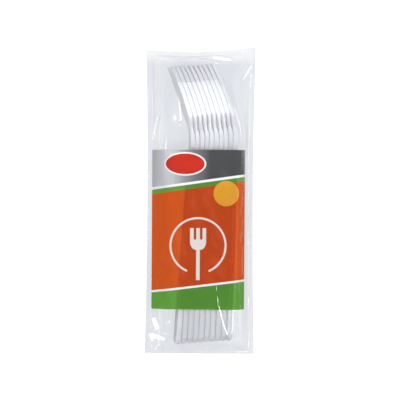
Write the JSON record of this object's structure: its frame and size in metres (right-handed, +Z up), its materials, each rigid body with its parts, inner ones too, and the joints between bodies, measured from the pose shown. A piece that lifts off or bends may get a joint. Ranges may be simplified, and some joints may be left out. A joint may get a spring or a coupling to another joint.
{
  "type": "plastic cutlery pack",
  "caption": "Clear film bag holding a nested stack of white plastic forks on their edges, with a plain coloured label printed on its front.",
  "frame": {"origin": "under the middle of the bag, on the plane that its back film rests on", "axes": "+Y from the handle ends towards the tine tips, +X across the stack to the right of the printed front, +Z up out of the printed front"},
  "size_m": [0.065, 0.183, 0.023],
  "materials": {
    "film": "clear glossy polypropylene film",
    "fork_plastic": "glossy white polystyrene, slightly translucent",
    "ink_grey": "dark grey ink under glossy film",
    "ink_white": "white ink under glossy film",
    "ink_green": "green ink under glossy film",
    "ink_orange": "orange ink under glossy film",
    "ink_red": "red ink under glossy film",
    "ink_amber": "amber ink under glossy film",
    "ink_cream": "cream ink under glossy film"
  },
  "bodies": {
    "root": {"film_bag": "film", "fork_01": "fork_plastic", "fork_02": "fork_plastic", "fork_03": "fork_plastic", "fork_04": "fork_plastic", "fork_05": "fork_plastic", "fork_06": "fork_plastic", "fork_07": "fork_plastic", "fork_08": "fork_plastic", "fork_09": "fork_plastic", "fork_10": "fork_plastic", "print_header": "ink_grey", "print_band_white": "ink_white", "print_band_green": "ink_green", "print_panel": "ink_orange", "print_footer_line": "ink_white", "print_footer": "ink_green", "print_oval_rim": "ink_white", "print_oval": "ink_red", "print_disc": "ink_amber", "print_ring": "ink_cream", "print_fork_mark": "ink_cream"}
  },
  "joints": []
}
